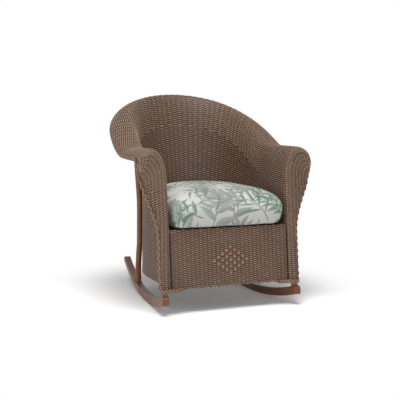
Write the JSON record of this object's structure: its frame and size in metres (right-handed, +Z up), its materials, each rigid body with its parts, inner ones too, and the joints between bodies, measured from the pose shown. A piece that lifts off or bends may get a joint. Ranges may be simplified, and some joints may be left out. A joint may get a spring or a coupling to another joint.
{
  "type": "woven rocking chair",
  "caption": "Barrel-back porch rocking chair: a loom-woven tub with wide rolled arms and rim, a woven front panel, a loose crowned seat cushion and a pair of wooden rockers.",
  "frame": {"origin": "middle of the footprint's bounding box, on the floor", "axes": "+X to the viewer's right when facing the front, -Y towards the front, +Z up"},
  "size_m": [0.8178, 0.8404, 0.9259],
  "materials": {
    "woven": "satin brown woven strand",
    "rocker_wood": "stained and varnished",
    "frame_wood": "stained",
    "webbing": "woven strap",
    "steel": "zinc plated",
    "cushion": "printed cotton"
  },
  "bodies": {
    "chair": {"woven_body": "woven", "front_panel": "woven", "edge_braid": "woven", "hem_braid_left": "woven", "hem_braid_right": "woven", "rocker_left": "rocker_wood", "rocker_right": "rocker_wood", "front_leg_left": "frame_wood", "front_leg_right": "frame_wood", "rear_leg_left": "frame_wood", "rear_leg_right": "frame_wood", "arm_facing_left": "frame_wood", "arm_facing_right": "frame_wood", "rim_hoop": "frame_wood", "seat_hoop": "frame_wood", "seat_rail_front": "frame_wood", "hem_hoop": "frame_wood", "hem_rail_front": "frame_wood", "panel_batten_left": "frame_wood", "panel_batten_right": "frame_wood", "corner_block_left": "frame_wood", "corner_block_right": "frame_wood", "webbing_lengthwise": "webbing", "webbing_crosswise": "webbing", "rocker_bolts": "steel", "frame_screws": "steel", "hoop_dowels": "frame_wood"},
    "cushion": {"seat_cushion": "cushion"}
  },
  "joints": [
    {"name": "cushion_lift", "type": "slide", "parent": "chair", "child": "cushion", "axis": [0, 0, 1], "range_m": [0, 0.45]}
  ]
}
